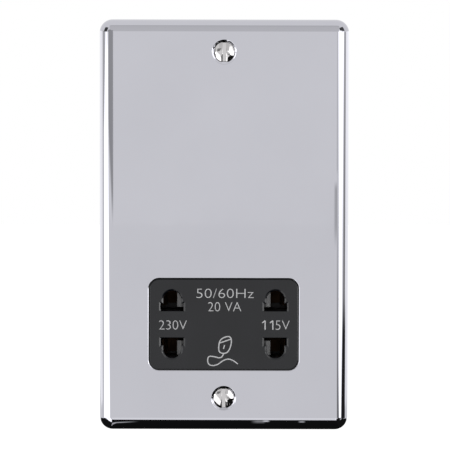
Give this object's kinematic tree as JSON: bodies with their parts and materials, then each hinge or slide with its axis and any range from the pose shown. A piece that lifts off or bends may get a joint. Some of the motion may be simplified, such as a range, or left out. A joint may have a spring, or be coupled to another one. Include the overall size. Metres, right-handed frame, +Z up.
{
  "type": "shaver socket",
  "caption": "Wall shaver socket: polished pressed plate with a dark socket insert, sliding shutter, isolating transformer and terminals behind.",
  "frame": {"origin": "middle of the plate on the face of the wall, midway between the two fixing screws", "axes": "+X right as seen from the room, +Y into the wall along the fixing screws, +Z up the plate"},
  "size_m": [0.087, 0.0475, 0.1436],
  "materials": {
    "polished_plate": "mirror polished",
    "polished_screw": "polished",
    "insert_black": "fine satin",
    "shutter_grey": "satin",
    "moulding_black": "matt",
    "chassis_white": "satin",
    "zinc_steel": "zinc plated",
    "spring_steel": "rolled",
    "lamination_steel": "stacked sheet, varnished",
    "bobbin_nylon": "satin",
    "winding_copper": "enamelled wire",
    "tape_yellow": "film tape",
    "cutout_white": "satin",
    "brass": "machined",
    "contact_bronze": "rolled strip",
    "tinned_pin": "tinned",
    "lead_brown": "insulation",
    "lead_blue": "insulation",
    "lead_red": "insulation",
    "lead_yellow": "insulation",
    "lead_black": "insulation"
  },
  "bodies": {
    "socket": {"front_plate": "polished_plate", "plate_pillars": "zinc_steel", "fixing_screws": "polished_screw", "socket_insert": "insert_black", "shutter_spring": "spring_steel", "contact_carrier": "moulding_black", "contact_230": "contact_bronze", "contact_115": "contact_bronze", "contact_common": "contact_bronze", "contact_cover": "moulding_black", "cover_screws": "zinc_steel", "chassis": "chassis_white", "chassis_screws": "zinc_steel", "core_e_laminations": "lamination_steel", "core_i_laminations": "lamination_steel", "transformer_screws": "zinc_steel", "bobbin": "bobbin_nylon", "bobbin_pins": "tinned_pin", "primary_winding": "winding_copper", "secondary_winding": "winding_copper", "primary_tape": "tape_yellow", "secondary_tape": "tape_yellow", "thermal_cutout": "cutout_white", "terminal_block": "moulding_black", "terminal_block_screws": "zinc_steel", "terminal_live": "brass", "terminal_neutral": "brass", "terminal_earth": "brass", "terminal_screws": "zinc_steel", "earth_post": "brass", "lead_live": "lead_brown", "lead_neutral": "lead_blue", "lead_230": "lead_red", "lead_115": "lead_yellow", "lead_common": "lead_black"},
    "shutter": {"shutter": "shutter_grey"}
  },
  "joints": [
    {"name": "shutter_slide", "type": "slide", "parent": "socket", "child": "shutter", "axis": [1, 0, 0], "range_m": [-0.0018, 0.0018], "stiffness_N_per_m": 200, "deforming": ["shutter_spring"]}
  ]
}
